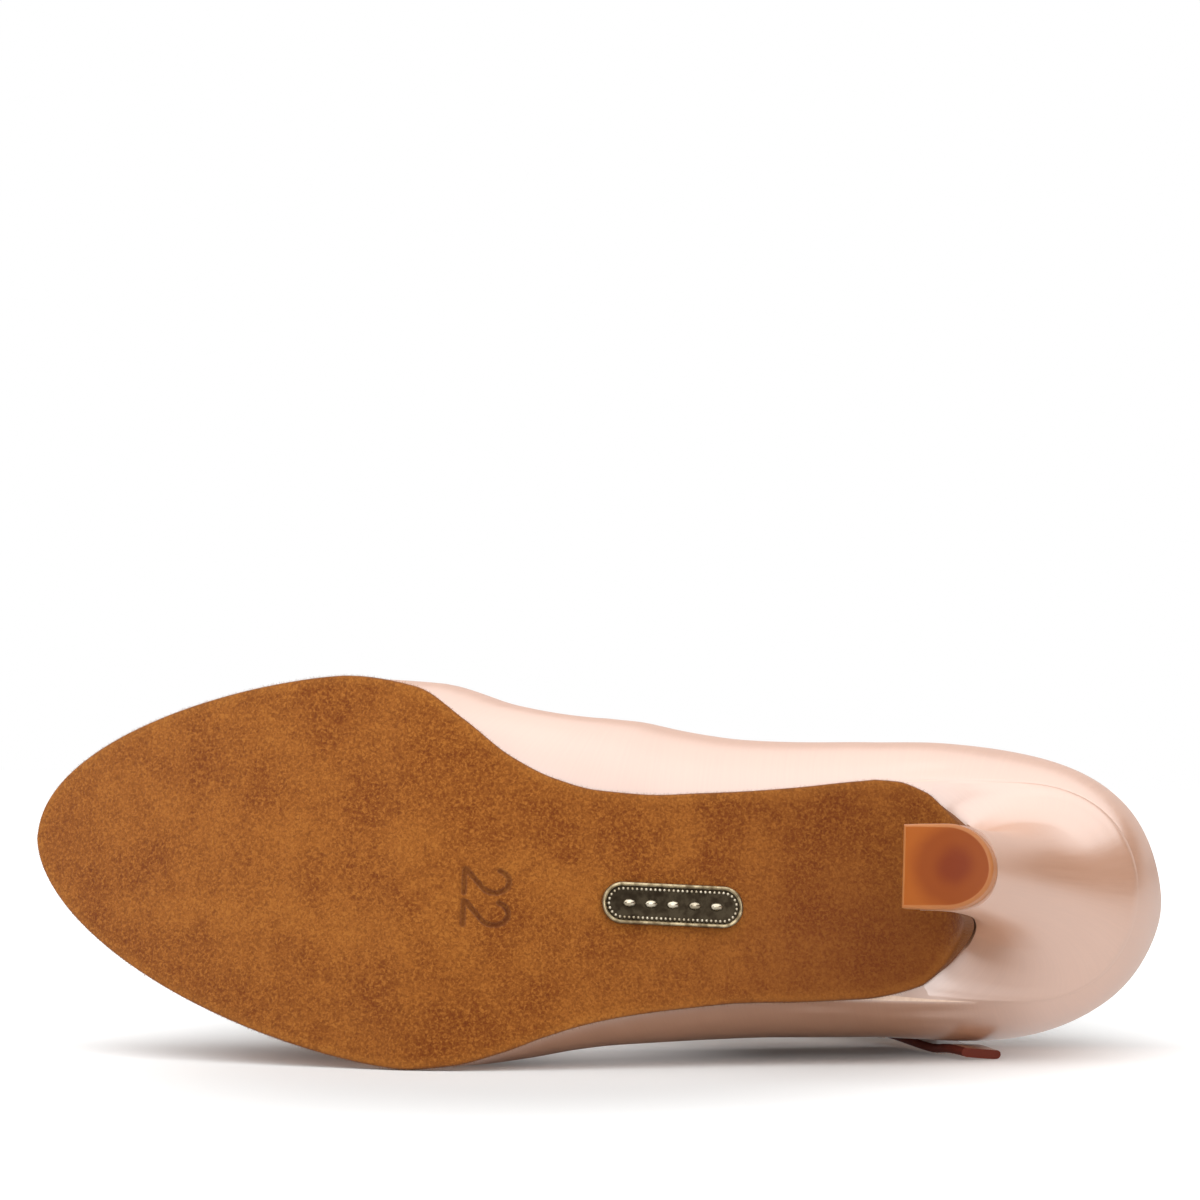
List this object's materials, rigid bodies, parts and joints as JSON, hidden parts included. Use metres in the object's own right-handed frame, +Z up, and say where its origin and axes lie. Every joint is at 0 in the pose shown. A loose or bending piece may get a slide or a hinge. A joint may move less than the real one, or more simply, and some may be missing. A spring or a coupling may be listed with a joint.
{
  "type": "ballroom dance shoe",
  "caption": "Woman's satin ballroom dance shoe with a suede outsole, a covered flared heel with a D-shaped tip and a buckled instep strap, lying on its outer side.",
  "frame": {"origin": "floor under the middle of the box around the shoe as it lies on its outer side", "axes": "+Z up from the floor, the toe towards -X, the sole facing -Y"},
  "size_m": [0.222, 0.114, 0.0782],
  "materials": {
    "suede": "napped suede, matte",
    "satin_on_leather": "woven satin face over a leather lining",
    "insole_leather": "smooth lining leather",
    "heel_cover": "moulded heel under stretched satin",
    "tip": "translucent amber",
    "metal": "antique plate"
  },
  "bodies": {
    "root": {"outsole": "suede", "upper": "satin_on_leather", "insole": "insole_leather", "heel": "heel_cover", "heel_tip": "tip", "strap": "satin_on_leather", "buckle_tab": "satin_on_leather", "buckle_frame": "metal", "buckle_prong": "metal", "badge": "metal"}
  },
  "joints": []
}
